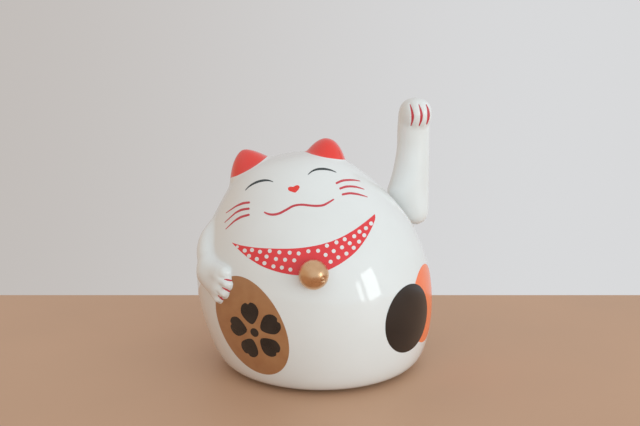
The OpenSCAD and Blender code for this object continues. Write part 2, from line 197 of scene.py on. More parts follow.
def material(name, dark, light, rough=(0.3, 0.4), metal=0.0, scale=60.0, detail=3.0, bump=0.0, bump_scale=400.0,
             bump_dist=0.00005, coat=0.0, coat_rough=0.03, ior=1.5, spec=0.5, sss=0.0, stretch=(1, 1, 1), aniso=0.0):
    """Colour and roughness drift between two values over a noise field; a finer field gives the bump."""
    m = bpy.data.materials.new(name)
    m.use_nodes = True
    nt = m.node_tree
    bsdf = next(n for n in nt.nodes if n.type == "BSDF_PRINCIPLED")
    link = nt.links.new
    tc = nt.nodes.new("ShaderNodeTexCoord")
    mp = nt.nodes.new("ShaderNodeMapping")
    mp.inputs["Scale"].default_value = stretch
    link(tc.outputs["Object"], mp.inputs["Vector"])
    no = nt.nodes.new("ShaderNodeTexNoise")
    no.inputs["Scale"].default_value = scale
    no.inputs["Detail"].default_value = detail
    link(mp.outputs["Vector"], no.inputs["Vector"])
    ramp = nt.nodes.new("ShaderNodeValToRGB")
    ramp.color_ramp.elements[0].position, ramp.color_ramp.elements[1].position = 0.35, 0.68
    ramp.color_ramp.elements[0].color = (*dark, 1)
    ramp.color_ramp.elements[1].color = (*light, 1)
    link(no.outputs["Fac"], ramp.inputs["Fac"])
    link(ramp.outputs["Color"], bsdf.inputs["Base Color"])
    mr = nt.nodes.new("ShaderNodeMapRange")
    mr.inputs["From Min"].default_value, mr.inputs["From Max"].default_value = 0.3, 0.7
    mr.inputs["To Min"].default_value, mr.inputs["To Max"].default_value = rough
    link(no.outputs["Fac"], mr.inputs["Value"])
    link(mr.outputs["Result"], bsdf.inputs["Roughness"])
    if bump:
        n2 = nt.nodes.new("ShaderNodeTexNoise")
        n2.inputs["Scale"].default_value = bump_scale
        n2.inputs["Detail"].default_value = 2.0
        link(mp.outputs["Vector"], n2.inputs["Vector"])
        bp = nt.nodes.new("ShaderNodeBump")
        bp.inputs["Strength"].default_value = bump
        bp.inputs["Distance"].default_value = bump_dist
        link(n2.outputs["Fac"], bp.inputs["Height"])
        link(bp.outputs["Normal"], bsdf.inputs["Normal"])
    bsdf.inputs["Metallic"].default_value = metal
    bsdf.inputs["IOR"].default_value = ior
    bsdf.inputs["Specular IOR Level"].default_value = spec
    bsdf.inputs["Coat Weight"].default_value = coat
    bsdf.inputs["Coat Roughness"].default_value = coat_rough
    bsdf.inputs["Anisotropic"].default_value = aniso
    if sss:
        bsdf.inputs["Subsurface Weight"].default_value = sss
        bsdf.inputs["Subsurface Radius"].default_value = (0.003, 0.0022, 0.0016)
        bsdf.inputs["Subsurface Scale"].default_value = 1.0
    return m


WHITE_A, WHITE_B = (0.80, 0.805, 0.795), (0.835, 0.84, 0.835)
RED_A, RED_B = srgb(236, 52, 40), srgb(243, 60, 48)
M_GLAZE = material("glaze_white", WHITE_A, WHITE_B, rough=(0.05, 0.09), scale=22, bump=0.05, bump_scale=90, bump_dist=0.0002, coat=0.5, coat_rough=0.02)
M_ARM = material("moulded_white", WHITE_A, WHITE_B, rough=(0.20, 0.28), scale=30, bump=0.06, bump_scale=300, bump_dist=0.00004, coat=0.25, coat_rough=0.08)
M_RED = material("paint_red", RED_A, RED_B, rough=(0.16, 0.24), scale=70, bump=0.04, bump_scale=500, coat=0.4, coat_rough=0.04)
M_BIB = material("paint_bib_red", srgb(228, 50, 58), srgb(236, 60, 66), rough=(0.16, 0.24), scale=70, bump=0.04, bump_scale=500, coat=0.4, coat_rough=0.04)
M_PINK = material("paint_line_red", srgb(200, 60, 72), srgb(212, 72, 82), rough=(0.2, 0.3), scale=120, coat=0.3, coat_rough=0.05)
M_LID = material("paint_eye_black", srgb(38, 48, 50), srgb(52, 62, 64), rough=(0.2, 0.3), scale=120, coat=0.3, coat_rough=0.05)
M_DOT = material("paint_dot_white", (0.78, 0.76, 0.75), (0.84, 0.82, 0.81), rough=(0.2, 0.3), scale=200, coat=0.3, coat_rough=0.05)
M_BLACK = material("paint_black", srgb(34, 27, 25), srgb(44, 36, 33), rough=(0.16, 0.24), scale=60, coat=0.15, coat_rough=0.05)
M_ORANGE = material("paint_orange", srgb(255, 122, 66), srgb(255, 134, 78), rough=(0.18, 0.26), scale=60, coat=0.1, coat_rough=0.05)
M_COIN = material("paint_old_gold", srgb(174, 122, 82), srgb(184, 134, 92), rough=(0.30, 0.42), metal=0.15, scale=160, detail=5, bump=0.05, bump_scale=1500, coat=0.3, coat_rough=0.06)
M_INK = material("paint_ink_black", srgb(30, 24, 22), srgb(44, 36, 32), rough=(0.24, 0.34), scale=160, coat=0.3, coat_rough=0.05)
M_BELL = material("bell_gold", srgb(221, 178, 138), srgb(233, 192, 152), rough=(0.26, 0.34), metal=1.0, scale=240, detail=6, bump=0.08, bump_scale=2600, bump_dist=0.00002)


def paint_by_attribute(m, attr, dark, light, soft=0.10):
    """Second colour where a stored distance (mm, signed) is above zero, with an edge as wide as soft."""
    nt = m.node_tree
    bsdf = next(n for n in nt.nodes if n.type == "BSDF_PRINCIPLED")
    old = bsdf.inputs["Base Color"].links[0].from_socket
    noise = next(n for n in nt.nodes if n.type == "TEX_NOISE")
    at = nt.nodes.new("ShaderNodeAttribute")
    at.attribute_name = attr
    mr = nt.nodes.new("ShaderNodeMapRange")
    mr.interpolation_type = "SMOOTHSTEP"
    mr.inputs["From Min"].default_value, mr.inputs["From Max"].default_value = -soft, soft
    nt.links.new(at.outputs["Fac"], mr.inputs["Value"])
    ramp = nt.nodes.new("ShaderNodeValToRGB")
    ramp.color_ramp.elements[0].color, ramp.color_ramp.elements[1].color = (*dark, 1), (*light, 1)
    nt.links.new(noise.outputs["Fac"], ramp.inputs["Fac"])
    mix = nt.nodes.new("ShaderNodeMix")
    mix.data_type = "RGBA"
    nt.links.new(mr.outputs["Result"], mix.inputs["Factor"])
    nt.links.new(old, mix.inputs["A"])
    nt.links.new(ramp.outputs["Color"], mix.inputs["B"])
    nt.links.new(mix.outputs["Result"], bsdf.inputs["Base Color"])


# ------------------------------------------------------------------ ceramic body
EARS = [  # centre on the egg, outward, along the crease, forward; height, profile, left and right reach, front and back reach; lower edge of the paint
    dict(c=(-36.5, 4.7, 101.9), n=(-0.613, 0.082, 0.875), u=(0.773, 0.383, 0.506), f=(0.274, -0.920, 0.279), h=8.38, p=0.947, al=14.84, ar=10.02, bf=13.4, bb=10.8, f0=1.08,
         edge=[(229.8, 178.0), (236.5, 175.9), (243.0, 172.9), (250.5, 168.9), (257.0, 164.7), (263.0, 160.2), (268.6, 155.5)]),
    dict(c=(2.2, 3.1, 108.5), n=(0.067, 0.055, 0.998), u=(0.984, 0.162, -0.075), f=(0.165, -0.985, 0.043), h=7.27, p=1.311, al=9.84, ar=10.0, bf=12.94, bb=10.3, f0=1.06,
         edge=[(304.3, 151.4), (312.0, 154.3), (320.6, 156.5), (327.0, 157.8), (333.0, 158.6), (340.0, 159.4), (346.7, 159.6)]),
]
FOREARM = [((-53.5, -11.3, 74.6), 1.9), ((-54.1, -14.8, 71.7), 3.5), ((-54.7, -19.0, 67.6), 5.15), ((-54.6, -23.8, 62.8), 5.75), ((-53.3, -29.0, 58.3), 5.6), ((-51.7, -32.6, 55.4), 5.7)]
FINGERS = [((-53.5, -31.4, 58.1), 4.6, (-44.9, -42.7, 58.0), 3.1), ((-53.5, -32.2, 56.3), 4.6, (-43.9, -44.8, 53.1), 2.65),
           ((-53.4, -32.8, 54.5), 4.6, (-45.6, -43.8, 48.8), 2.55), ((-53.7, -32.7, 53.5), 4.6, (-48.4, -40.9, 45.4), 2.4),
           ((-53.4, -32.0, 56.6), 4.9, (-47.2, -40.6, 55.7), 4.1), ((-53.5, -32.4, 54.6), 4.9, (-48.3, -40.0, 50.6), 4.1)]
REST_LINES = [[(219.5, 278.0), (224.4, 279.3), (228.0, 279.9), (233.5, 281.3)], [(218.5, 285.6), (222.6, 287.6), (226.2, 289.6), (232.0, 292.6)], [(215.5, 292.6), (218.4, 295.6), (220.6, 297.6), (224.0, 300.8)]]
rest_grooves = []


def eased(rows, n):
    """Spheres along a smooth path through the stated ones."""
    Q = np.array([[*c, r] for c, r in rows], float)
    Q = np.vstack([2 * Q[0] - Q[1], Q, 2 * Q[-1] - Q[-2]])
    out = []
    for i in range(1, len(Q) - 2):
        for t in np.arange(n) / n:
            out.append(0.5 * (2 * Q[i] + (Q[i + 1] - Q[i - 1]) * t + (2 * Q[i - 1] - 5 * Q[i] + 4 * Q[i + 1] - Q[i + 2]) * t * t
                              + (3 * Q[i] - Q[i - 1] - 3 * Q[i + 1] + Q[i + 2]) * t**3))
    return out + [Q[-2]]


ARM_LINKS = eased(FOREARM, 4)


def f_rest(p):
    f = None
    for a, b in zip(ARM_LINKS[:-1], ARM_LINKS[1:]):
        g = f_cap(p, a[:3], b[:3], a[3] + 0.15, b[3] + 0.15)
        f = g if f is None else smin(f, g, 0.25)
    h = None
    for a, ra, b, rb in FINGERS:
        g = f_cap(p, a, b, ra, rb)
        h = g if h is None else smin(h, g, 2.3)
    f = smin(f, h, 3.0)
    if rest_grooves:
        f = f + 0.45 * np.exp(-(to_lines(p, rest_grooves) / 0.6) ** 2)
    return f


def ear_height(P, e):
    """Height of a low rounded cone over the egg, and how far inside its red paint a point lies, in mm."""
    d = P - np.array(e["c"])
    u, f = d @ unit(e["u"]), d @ unit(e["f"]) - e["f0"]
    far = (d @ unit(e["n"]) < -16) | (np.abs(u) > 26) | (np.abs(f) > 28)
    rho = np.sqrt((u / np.where(u < 0, e["al"], e["ar"])) ** 2 + (f / np.where(f > 0, e["bf"], e["bb"])) ** 2)
    ep, k = 0.22, 0.55
    g = (np.sqrt(rho**2 + ep**2) - ep) / (math.sqrt(1 + ep**2) - ep)
    x = e["h"] * (1 - g ** e["p"])
    top = np.where(far, 0, k * np.logaddexp(0, np.clip(x / k, -40, 60)))
    return top, np.where(far, -20, np.minimum((1.12 - rho) * 12, f + 2.9))


def above(q, edge):
    """Signed distance, in mm on the ear, from the lower edge of the paint."""
    E = np.array(edge, float)
    best = np.full(len(q), 1e9)
    for a, b in zip(E[:-1], E[1:]):
        ab = b - a
        h = np.clip(((q - a) @ ab) / (ab @ ab), 0, 1)
        best = np.minimum(best, np.linalg.norm(q - a - h[:, None] * ab, axis=1))
    line = np.interp(q[:, 0], E[:, 0], E[:, 1])
    return np.where(q[:, 1] < line, best, -best) / 2.05


def spaced(edges, steps):
    """Sample values over stretches, each with about the step it states."""
    out = [edges[0]]
    for a, b, s in zip(edges[:-1], edges[1:], steps):
        n = max(int(round((b - a) / s)), 1)
        out += list(a + (b - a) * np.arange(1, n + 1) / n)
    return np.array(out)


V_OPEN = 1.93
vs = spaced([2.2, 3.0, 4.0, 4.95, 6.85, 7.35, 8.86], [0.1, 0.12, 0.08, 0.0165, 0.05, 0.022])
vs = np.concatenate([vs, [8.90, 8.94, 8.97]])
ths = np.radians(spaced([0, 148, 190, 236, 360], [2.0, 0.85, 0.43, 2.0]))[:-1]
V, T = np.meshgrid(vs, ths, indexing="ij")
P0 = egg(V, T)
e1 = egg(V + 1e-4, T) - egg(V - 1e-4, T)
e2 = egg(V, T + 1e-4) - egg(V, T - 1e-4)
N0 = unit(np.cross(e2, e1))
N0 *= np.sign(((P0 - np.array([-6, 0, 50])) * N0).sum(-1))[..., None]

# resting arm: march inwards along each normal to the joined surface
disp = np.zeros(V.shape)
zone = (T > np.radians(170)) & (T < np.radians(255)) & (V > 4.3) & (V < 7.4)
zp, zn = P0[zone], N0[zone]


def rest_height():
    d = np.full(len(zp), 12.0)
    for _ in range(110):
        q = zp + d[:, None] * zn
        k = np.interp(-q[:, 1], [26, 37], [2.6, 1.3])
        F = smin(d, f_rest(q), k)
        d = np.where(np.abs(F) > 1e-4, d - 0.75 * F, d)
    return np.maximum(d, 0)


plain = rest_height()
KEEP = zp + plain[:, None] * zn
PX = project(KEEP)
near_eye = np.linalg.norm(KEEP - CAM, axis=1)
for L in REST_LINES:                      # the grooves between the toes lie under the painted lines
    pts = []
    for q in catmull(L, 3):
        d2 = ((PX - q) ** 2).sum(1)
        c = np.argsort(d2)[:12]
        c = c[d2[c] < 1.2]
        if len(c):
            pts.append(KEEP[c[np.argmin(near_eye[c])]])
    if len(pts) > 2:
        rest_grooves.append(np.array(pts))
disp[zone] = rest_height()
paint = np.full(V.shape, -20.0)
rise = [ear_height(P0, e) for e in EARS]
disp += sum(r[0] for r in rise)
shape = P0 + disp[..., None] * N0
for e, (top, lim) in zip(EARS, rise):
    m = lim > -2
    val = np.full(V.shape, -20.0)
    val[m] = np.minimum(lim[m], above(project(shape[m]), e["edge"]))
    paint = np.maximum(paint, val)
OUT = P0 + (disp - 0.02 * np.clip(V - 2.2, 0, 1))[..., None] * N0

n_t = len(ths)
foot = []
for r, z in [(39.0, 4.8), (39.0, 0.8), (43.2, 0.8), (43.5, 0.86)]:
    foot.append(np.stack([r * np.cos(ths), r * np.sin(ths), np.full(n_t, z)], -1))
vin = spaced([2.05, 3.0, 6.0, 8.8], [0.12, 0.12, 0.12])
Vi, Ti = np.meshgrid(vin, ths, indexing="ij")
INN = egg(Vi, Ti, -4.0)
INN[0, :, 2] = 4.9
rings = np.concatenate([INN[::-1], foot, OUT.reshape(len(vs), n_t, 3)])
m = len(rings)
faces = grid_faces(m, n_t)
verts = np.concatenate([rings.reshape(-1, 3), egg(np.array([9.0]), np.array([0.0]), -4.0), egg(np.array([9.0]), np.array([0.0])) - [0, 0, 0.02]])
ti, to = m * n_t, m * n_t + 1
caps = [(ti, (j + 1) % n_t, j) for j in range(n_t)] + [(to, (m - 1) * n_t + j, (m - 1) * n_t + (j + 1) % n_t) for j in range(n_t)]
body = new_mesh("cat_body", verts, list(faces) + caps, None, [M_GLAZE])
paint_pts = {"co": OUT.reshape(-1, 3), "val": paint.reshape(-1)}

YAW = math.radians(12)
ROT = np.array([[math.cos(YAW), -math.sin(YAW), 0], [math.sin(YAW), math.cos(YAW), 0], [0, 0, 1]])


def world(p):
    """From the mechanism's turned frame to the row frame."""
    return np.asarray(p, float) @ ROT.T


def cutter(name, a, b, r, n=64):
    """A temporary round bar from a to b for cutting holes."""
    a, b = np.array(a, float), np.array(b, float)
    ax = unit(b - a)
    u = unit(np.cross(ax, [0, 0, 1.0]))
    w = np.cross(ax, u)
    t = 2 * np.pi * np.arange(n) / n
    ring = lambda c: c + r * (np.cos(t)[:, None] * u + np.sin(t)[:, None] * w)
    v = np.concatenate([ring(a), ring(b), [a], [b]])
    f = [(j, (j + 1) % n, n + (j + 1) % n, n + j) for j in range(n)]
    f += [(2 * n, (j + 1) % n, j) for j in range(n)] + [(2 * n + 1, n + j, n + (j + 1) % n) for j in range(n)]
    return new_mesh(name, v, f, None, [])


def cut(ob, tool):
    md = ob.modifiers.new("hole", "BOOLEAN")
    md.operation, md.object = "DIFFERENCE", tool
    try:
        md.solver = "MANIFOLD"
    except TypeError:
        md.solver = "EXACT"
    dg = bpy.context.evaluated_depsgraph_get()
    me = bpy.data.meshes.new_from_object(ob.evaluated_get(dg))
    ob.modifiers.remove(md)
    old = ob.data
    ob.data = me
    bpy.data.meshes.remove(old)
    bpy.data.objects.remove(tool)


import bmesh


def outward(ob):
    bm = bmesh.new()
    bm.from_mesh(ob.data)
    if bm.calc_volume(signed=True) < 0:
        bmesh.ops.reverse_faces(bm, faces=bm.faces)
        bm.to_mesh(ob.data)
    bm.free()


def unfold(ob):
    """Take out the slivers a cut can leave: two equal triangles back to back."""
    old = ob.data
    old.calc_loop_triangles()
    at, spot = {}, []
    for v in old.vertices:
        spot.append(at.setdefault(tuple(v.co), len(at)))
    tris = [tuple(spot[i] for i in t.vertices) for t in old.loop_triangles]
    tris = [t for t in tris if len(set(t)) == 3]
    count = {}
    for t in tris:
        k = tuple(sorted(t))
        count[k] = count.get(k, 0) + 1
    me = bpy.data.meshes.new(old.name)
    me.from_pydata(list(at), [], [t for t in tris if count[tuple(sorted(t))] == 1])
    for m in old.materials:
        me.materials.append(m)
    me.polygons.foreach_set("use_smooth", [True] * len(me.polygons))
    me.update()
    ob.data = me
    bpy.data.meshes.remove(old)


outward(body)
cut(body, cutter("cut_axle", world((26, 19, 72.8)), world((60, 19, 72.8)), 4.0))
body.data.set_sharp_from_angle(angle=math.radians(50))
kd = KDTree(len(paint_pts["co"]))
for i, c in enumerate(paint_pts["co"]):
    kd.insert(c, i)
kd.balance()
attr = body.data.attributes.new("ear_paint", "FLOAT", "POINT")
vals = np.full(len(body.data.vertices), -20.0, np.float32)
for i, v in enumerate(body.data.vertices):
    if v.co.z > 0.088:
        co, k, dist = kd.find(v.co / MM)
        if dist < 0.05:
            vals[i] = paint_pts["val"][k]
attr.data.foreach_set("value", vals)
paint_by_attribute(M_GLAZE, "ear_paint", RED_A, RED_B)
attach(body, FIG)
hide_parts("body_shell")


# ------------------------------------------------------------------ waving arm, in the turned frame
ROWS = np.array([  # height, inner edge, outer edge, middle, half depth
    [65.8, 56.2, 57.6, 19, 0.6], [66.3, 54, 60.4, 19, 3.4], [67.6, 51.6, 62.4, 19, 5.6], [70, 49, 63.7, 19, 7.2],
    [73.5, 46.6, 64.2, 19, 8], [78, 43.7, 64.3, 19, 8.2], [84, 41.0, 64.3, 19, 8.2], [89, 42.3, 64.2, 19, 8.2],
    [97, 44.4, 64.1, 19, 7.9], [107, 46.0, 63.9, 19, 7.6], [114, 46.1, 63.7, 18.9, 7.6], [120, 46.1, 63.4, 18.6, 7.6],
    [126, 46.9, 62.4, 18.2, 7.0], [130, 49.6, 60.4, 18.0, 5.4], [132.6, 53.4, 57.0, 18, 2.0]])
fine = catmull(ROWS, 12)
PAW_C, PAW_R = (55.0, 16.7, 126.1), (8.6, 9.1, 8.45)
grooves = []


def f_wave(p):
    z = np.clip(p[..., 2], fine[0, 0], fine[-1, 0])
    col = [np.interp(z, fine[:, 0], fine[:, k]) for k in range(1, 5)]
    xc, rx = (col[0] + col[1]) / 2, np.maximum((col[1] - col[0]) / 2, 0.3)
    yc, ry = col[2], np.maximum(col[3], 0.3)
    q = np.sqrt(((p[..., 0] - xc) / rx) ** 2 + ((p[..., 1] - yc) / ry) ** 2)
    f = (q - 1) * np.minimum(rx, ry)
    f = np.hypot(np.maximum(f, 0), p[..., 2] - z) + np.minimum(f, 0)
    g = (p - np.array(PAW_C)) / np.array(PAW_R)
    k = 2.2
    paw = ((np.abs(g) ** k).sum(-1) ** (1 / k) - 1) * min(PAW_R)
    f = smin(f, paw, 1.4)
    if grooves:
        f = f + 0.5 * np.exp(-(to_lines(p, grooves) / 0.7) ** 2)
    return f


def wave_grid(inset=0.0, n=120, coarse=1):
    o, dr = [], []
    t = 2 * np.pi * np.arange(n) / n
    for a in np.linspace(-88, 0, 16 // coarse + 1)[:-1]:
        a = math.radians(a)
        for s in t:
            o.append((56.2, 19, 73.5)); dr.append((math.cos(a) * math.cos(s), math.cos(a) * math.sin(s), math.sin(a)))
    zs = spaced([73.5, 112, 126], [1.2 * coarse, 0.45 * coarse])
    rows = 16 // coarse + len(zs)
    for z in zs:
        q = (z - 73.5) / (126 - 73.5)
        for s in t:
            o.append((56.2 - 1.0 * q, 19 - 2.2 * max(q - 0.8, 0) / 0.2, z)); dr.append((math.cos(s), math.sin(s), 0))
    tops = np.linspace(0, 88, 22 // coarse + 1)[1:]
    for a in tops:
        a = math.radians(a)
        for s in t:
            o.append((55.2, 16.8, 126)); dr.append((math.cos(a) * math.cos(s), math.cos(a) * math.sin(s), math.sin(a)))
    rows += len(tops)
    o, dr = np.array(o, float), unit(dr)
    h = np.full(len(o), 24.0)
    for _ in range(120):
        F = f_wave(o + h[:, None] * dr) + inset
        h = np.where(np.abs(F) > 1e-4, h - 0.6 * F, h)
    return (o + h[:, None] * dr).reshape(rows, n, 3)


def closed_tube(g):
    m, n = g.shape[:2]
    v = np.concatenate([g.reshape(-1, 3), [g[0].mean(0)], [g[-1].mean(0)]])
    f = [tuple(q) for q in grid_faces(m, n)]
    f += [(m * n, (j + 1) % n, j) for j in range(n)] + [(m * n + 1, (m - 1) * n + j, (m - 1) * n + (j + 1) % n) for j in range(n)]
    return v, f


def bvh_of(v, f):
    return BVHTree.FromPolygons([tuple(a) for a in v], [tuple(int(i) for i in q) for q in f])


def strike(bvh, px, py):
    hit = bvh.ray_cast(Vector(CAM), Vector(sight(px, py)))
    return hit if hit[0] is not None else None


WAVE_LINES = [[(410.0, 104.2), (411.7, 110.0), (412.7, 116.0), (412.3, 121.0), (410.9, 125.8)],
              [(418.8, 104.4), (420.6, 109.8), (421.5, 115.5), (420.9, 120.8), (419.0, 126.0)],
              [(426.1, 104.4), (427.9, 109.3), (428.5, 114.8), (427.9, 120.0), (426.5, 124.3)]]
v, f = closed_tube(wave_grid(n=80))
first = bvh_of(world(v), f)
for L in WAVE_LINES:
    pts = [strike(first, *q) for q in catmull(L, 3)]
    pts = np.array([h[0] for h in pts if h])
    if len(pts) > 2:
        grooves.append(pts @ ROT)          # back to the turned frame
outer = wave_grid(inset=0.03)
v1, f1 = closed_tube(outer)
inner = wave_grid(inset=1.8, n=48, coarse=2)
v2, f2 = closed_tube(inner)
f2 = [tuple(i + len(v1) for i in q[::-1]) for q in f2]
arm = new_mesh("raised_arm", world(np.concatenate([v1, v2])), list(f1) + f2, None, [M_ARM])
outward(arm)
cut(arm, cutter("cut_hub", world((38, 19, 72.8)), world((56.4, 19, 72.8)), 4.5))
unfold(arm)
arm.data.set_sharp_from_angle(angle=math.radians(50))
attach(arm, PEN)
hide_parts("waving_arm")
wave_bvh = bvh_of(world(v1), f1)

# ------------------------------------------------------------------ painted pieces: thin closed films that follow a surface
V2, T2 = np.meshgrid(np.linspace(1.0, 8.9, 260), np.radians(np.linspace(0, 360, 361))[:-1], indexing="ij")
egg_bvh = bvh_of(egg(V2, T2).reshape(-1, 3), grid_faces(260, 360))
body_bvh = bvh_of(OUT.reshape(-1, 3), grid_faces(len(vs), n_t))


def from_view(bvh):
    def f(p):
        h = strike(bvh, p[0], p[1])
        if h is None:
            return None
        n = Vector(h[1])
        if n.dot(Vector(sight(*p))) > 0:
            n = -n
        return np.array(h[0]), np.array(n)
    return f


def from_patch(bvh, c, n, rot=0.0):
    """Points given in mm on a plane that touches the egg at c, dropped along n."""
    c, n = np.array(c, float), unit(n)
    u = unit(np.cross([0, 0, 1.0], n))
    w = np.cross(n, u)
    cr, sr = math.cos(rot), math.sin(rot)

    def f(p):
        q = c + 40 * n + (p[0] * cr - p[1] * sr) * u + (p[0] * sr + p[1] * cr) * w
        h = bvh.ray_cast(Vector(q), Vector(-n))
        if h[0] is None:
            return None
        k = Vector(h[1])
        if k.dot(Vector(n)) < 0:
            k = -k
        return np.array(h[0]), np.array(k)
    return f


def film(name, outlines, where, mat, body_name, lift=0.05, sink=0.10, step=2.0, holes=False):
    """outlines: closed lists of points in the plane that `where` maps to the surface."""
    verts, faces = [], []
    for out in outlines:
        out = np.array(out, float)
        pts = [Vector(p) for p in out]
        n = len(pts)
        edges = [(i, (i + 1) % n) for i in range(n)]
        lo, hi = out.min(0), out.max(0)
        for x in np.arange(lo[0] + step * 0.5, hi[0], step):
            for y in np.arange(lo[1] + step * 0.5, hi[1], step):
                a, b = out, np.roll(out, -1, 0)
                ins = ((a[:, 1] > y) != (b[:, 1] > y)) & (x < (b[:, 0] - a[:, 0]) * (y - a[:, 1]) / (b[:, 1] - a[:, 1] + 1e-12) + a[:, 0])
                if ins.sum() % 2 and np.linalg.norm(out - (x, y), axis=1).min() > 0.45 * step:
                    pts.append(Vector((x, y)))
        co, _, fs, *_ = delaunay_2d_cdt(pts, edges, [list(range(n))], 1, 1e-6)
        spots = [where(tuple(c)) for c in co]
        if any(s is None for s in spots):
            bad = {i for i, s in enumerate(spots) if s is None}
            fs = [q for q in fs if not bad & set(q)]
        used = sorted({i for q in fs for i in q})
        if not used:
            continue
        idx = {i: k for k, i in enumerate(used)}
        P = np.array([spots[i][0] for i in used])
        Nn = unit(np.array([spots[i][1] for i in used]))
        base = len(verts)
        verts += list(P + lift * Nn) + list(P - sink * Nn)
        k = len(used)
        tri = [tuple(idx[i] for i in q) for q in fs]
        # make the top side face outwards
        a, b, c = (P[[t[j] for t in tri]] for j in range(3))
        if (np.cross(b - a, c - a) * Nn[[t[0] for t in tri]]).sum() < 0:
            tri = [t[::-1] for t in tri]
        cnt = {}
        for t in tri:
            for i in range(len(t)):
                cnt[(t[i], t[(i + 1) % len(t)])] = 1
        rim = [e for e in cnt if (e[1], e[0]) not in cnt]
        faces += [tuple(base + i for i in t) for t in tri]
        faces += [tuple(base + k + i for i in t[::-1]) for t in tri]
        faces += [(base + b2, base + a2, base + k + a2, base + k + b2) for a2, b2 in rim]
    ob = new_mesh(name, np.array(verts), faces, body_name, [mat], sharp=40)
    return ob


def stroke(points, widths, k=6, ends=0.35):
    """Outline of a brush stroke along a smoothed centre line."""
    c = catmull(points, k)
    s = np.linspace(0, 1, len(c))
    w = np.interp(s, np.linspace(0, 1, len(widths)), widths) / 2
    t = np.gradient(c, axis=0)
    t = unit(t)
    nrm = np.stack([-t[:, 1], t[:, 0]], -1)
    left, right = c + nrm * w[:, None], c - nrm * w[:, None]
    cap0 = [c[0] - t[0] * w[0] * ends * 2]
    cap1 = [c[-1] + t[-1] * w[-1] * ends * 2]
    return np.concatenate([left, cap1, right[::-1], cap0])


def disc(c, r, n=14, sx=1.0):
    t = 2 * np.pi * np.arange(n) / n
    return np.stack([c[0] + r * sx * np.cos(t), c[1] + r * np.sin(t)], -1)


on_egg = from_view(egg_bvh)
on_body = from_view(body_bvh)
on_wave = from_view(wave_bvh)

film("eye_right", [stroke([(245.3, 190.3), (249.2, 186.4), (254, 183.4), (259.2, 181.3), (264.8, 180.3), (269.4, 180.6), (273.2, 181.9)], [0.4, 1.5, 2.15, 2.2, 1.5, 0.4])], on_egg, M_LID, FIG, step=1.5)
film("eye_left", [stroke([(307.8, 174.7), (311.8, 171.4), (316.4, 169.5), (321.2, 168.9), (326.4, 169.2), (331.6, 170.4), (336.2, 172.3)], [0.4, 1.5, 2.15, 2.2, 1.5, 0.4])], on_egg, M_LID, FIG, step=1.5)
heart = catmull([(288.0, 189.0), (288.6, 187.4), (290.6, 186.7), (293.2, 186.9), (294.6, 186.2), (296.6, 185.3), (298.7, 185.6), (299.6, 187.2), (298.6, 189.4), (296.6, 191.5), (295.0, 192.5), (291.6, 191.6), (289.0, 190.6)], 4, closed=True)
film("nose", [heart], on_egg, M_RED, FIG, step=1.5)
film("mouth", [stroke([(264.3, 212.2), (268, 213.9), (273.1, 214.6), (279.2, 213.4), (286.3, 209.8), (293.5, 205.9), (301.6, 204.7), (309.8, 205.5), (316.9, 205.9), (323.1, 205.2), (328.2, 202.7), (333.8, 199.3)],
                      [1.4, 2.2, 2.3, 2.2, 2.1, 2.1, 2.2, 2.1, 1.4], k=5)], on_egg, M_PINK, FIG, step=1.5)
RIGHT = [[(336.3, 183.3), (342.4, 180.7), (349.6, 180.0), (355, 180.2), (360.2, 181.1)], [(339.9, 188.6), (346.5, 186.6), (353.7, 186.6), (359.2, 187.7), (364.2, 189.3)],
         [(342.4, 194.5), (349.6, 193.3), (356.7, 194.0), (362.4, 195.4), (367.6, 197.1)]]
LEFT = [[(249.4, 202.4), (243.5, 203.2), (239.2, 204.8), (235.3, 206.7), (226.1, 212.9)], [(249.1, 208.6), (242.4, 209.6), (238.2, 211.4), (234.3, 213.9), (224.6, 222.6)],
        [(249.1, 214.7), (241.4, 216.9), (237.2, 219.2), (233.3, 222.0), (225.6, 229.2)]]
film("whiskers_left", [stroke(L, [2.1, 2.2, 1.9, 1.35, 0.5]) for L in RIGHT], on_egg, M_PINK, FIG, step=1.5)
film("whiskers_right", [stroke(L, [2.1, 2.25, 1.95, 1.4, 0.5]) for L in LEFT], on_egg, M_PINK, FIG, step=1.5)

bib_top = catmull([(231.6, 242.4), (240.4, 245.2), (255.7, 247.6), (273.1, 248.6), (291.4, 248.6), (306.7, 247.2), (322, 244.2), (337.3, 239.1), (352.7, 230.9), (364.9, 222.2), (374.9, 214.0)], 4)
bib_low = catmull([(374.9, 214.0), (375.1, 219.0), (372, 227.3), (365.9, 238.6), (356.7, 250.8), (344.5, 261), (330.2, 269.2), (314.9, 274.3), (298.6, 275.3), (281.2, 272.8), (263.9, 267.1), (250.6, 259.5), (240.4, 251.3), (231.6, 242.4)], 4)
film("bib", [np.concatenate([bib_top[:-1], bib_low[:-1]])], on_egg, M_BIB, FIG, step=2.2)
DOTS = [(244.8, 250.6), (252.1, 250.1), (260.0, 251.8), (269.8, 251.0), (279.4, 252.3), (289.7, 252.7), (298.7, 253.5), (308.4, 251.3), (318.1, 250.8),
        (326.9, 245.7), (336.4, 242.4), (344.7, 239.3), (354.2, 236.3), (359.4, 231.7), (365.9, 228.2), (371.0, 223.5),
        (249.1, 255.9), (256.9, 259.0), (266.6, 256.6), (276.0, 259.0), (285.1, 259.8), (294.3, 260.4), (325.6, 254.9), (333.7, 251.1), (342.0, 247.4), (349.7, 243.3), (359.0, 241.7), (364.2, 235.3),
        (264.5, 263.2), (273.5, 266.4), (281.9, 267.6), (290.4, 269.6), (330.6, 261.8), (338.3, 257.4), (346.4, 253.6), (353.7, 247.8)]
film("bib_dots", [disc((237.5, 246.8), 1.45, 12)] + [disc(c, 2.05, 14) for c in DOTS], on_egg, M_DOT, FIG, lift=0.08, sink=0.0, step=1.6)

